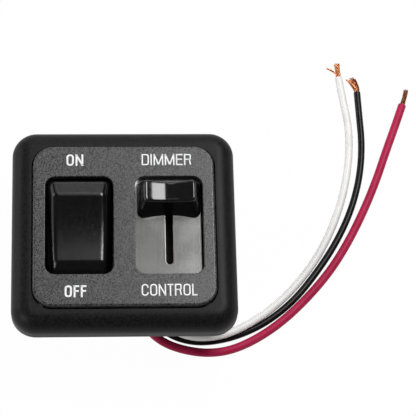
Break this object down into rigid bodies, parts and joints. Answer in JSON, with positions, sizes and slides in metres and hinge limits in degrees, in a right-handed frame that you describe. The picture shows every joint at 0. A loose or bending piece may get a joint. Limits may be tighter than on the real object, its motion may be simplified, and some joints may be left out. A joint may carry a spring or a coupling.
{
  "type": "led dimmer switch",
  "caption": "Black panel-mount LED dimmer switch: clip-on bezel and textured face plate with an ON/OFF rocker, a slide dimmer over a slotted steel plate, and loose leads with bare ends.",
  "frame": {"origin": "middle of the back of the rear housing, on the surface that the switch lies on", "axes": "+Z out of the face, +Y towards the ON end of the rocker, +X towards the dimmer side"},
  "size_m": [0.1283, 0.0998, 0.0348],
  "materials": {
    "bezel_plastic": "satin black, fine moulded grain",
    "face_plastic": "spark-textured black with white pad print",
    "rocker_plastic": "semi-gloss black",
    "knob_plastic": "polished black",
    "housing_plastic": "plain moulded black",
    "switch_body_plastic": "plain moulded black",
    "slide_steel": "dull plated, fine brushing along the slot",
    "zinc_steel": "zinc plated",
    "grommet_rubber": "matt black",
    "red_insulation": "satin crimson",
    "black_insulation": "satin black",
    "white_insulation": "satin white",
    "copper": "bare stranded copper",
    "terminal_brass": "plain",
    "spring_bronze": "plain",
    "contact_silver": "silver alloy",
    "board_laminate": "green solder mask",
    "wafer_laminate": "brown phenolic paper",
    "carriage_plastic": "plain moulded black",
    "epoxy": "black moulding compound",
    "tab_metal": "tinned",
    "can_sleeve": "shrink sleeve",
    "disc_coating": "dipped",
    "resistor_coating": "lacquered"
  },
  "bodies": {
    "base": {"bezel": "bezel_plastic", "face_plate": "face_plastic", "rear_housing": "housing_plastic", "rocker_body": "switch_body_plastic", "pot_case": "slide_steel", "housing_screws": "zinc_steel", "wire_grommet": "grommet_rubber", "red_wire": "red_insulation", "black_wire": "black_insulation", "white_wire": "white_insulation", "red_wire_strands": "copper", "black_wire_strands": "copper", "white_wire_strands": "copper", "common_terminal": "terminal_brass", "load_terminal": "terminal_brass", "pot_terminals": "terminal_brass", "fixed_contact": "contact_silver", "circuit_board": "board_laminate", "pot_wafer": "wafer_laminate", "power_transistor": "epoxy", "control_chip": "epoxy", "flyback_diode": "epoxy", "transistor_tab": "tab_metal", "smoothing_capacitor": "can_sleeve", "ceramic_capacitor": "disc_coating", "resistors": "resistor_coating"},
    "rocker": {"rocker_cap": "rocker_plastic", "rocker_plunger": "switch_body_plastic", "rocker_spring": "zinc_steel"},
    "contact_see_saw": {"contact_blade": "spring_bronze", "moving_contact": "contact_silver"},
    "dimmer": {"dimmer_knob": "knob_plastic", "pot_slider": "carriage_plastic", "pot_wiper": "spring_bronze"}
  },
  "joints": [
    {"name": "rocker_tilt", "type": "hinge", "parent": "base", "child": "rocker", "pos_m": [-0.01353, 0, 0.0214], "axis": [1, 0, 0], "range_deg": [-21, 0]},
    {"name": "contact_tilt", "type": "hinge", "parent": "base", "child": "contact_see_saw", "pos_m": [-0.01353, 0, 0.013], "axis": [1, 0, 0], "range_deg": [0, 12]},
    {"name": "dimmer_slide", "type": "slide", "parent": "base", "child": "dimmer", "axis": [0, 1, 0], "range_m": [-0.0175, 0]}
  ],
  "couplings": [
    {"joint": "contact_tilt", "follows": "rocker_tilt", "ratio": -0.5714}
  ]
}
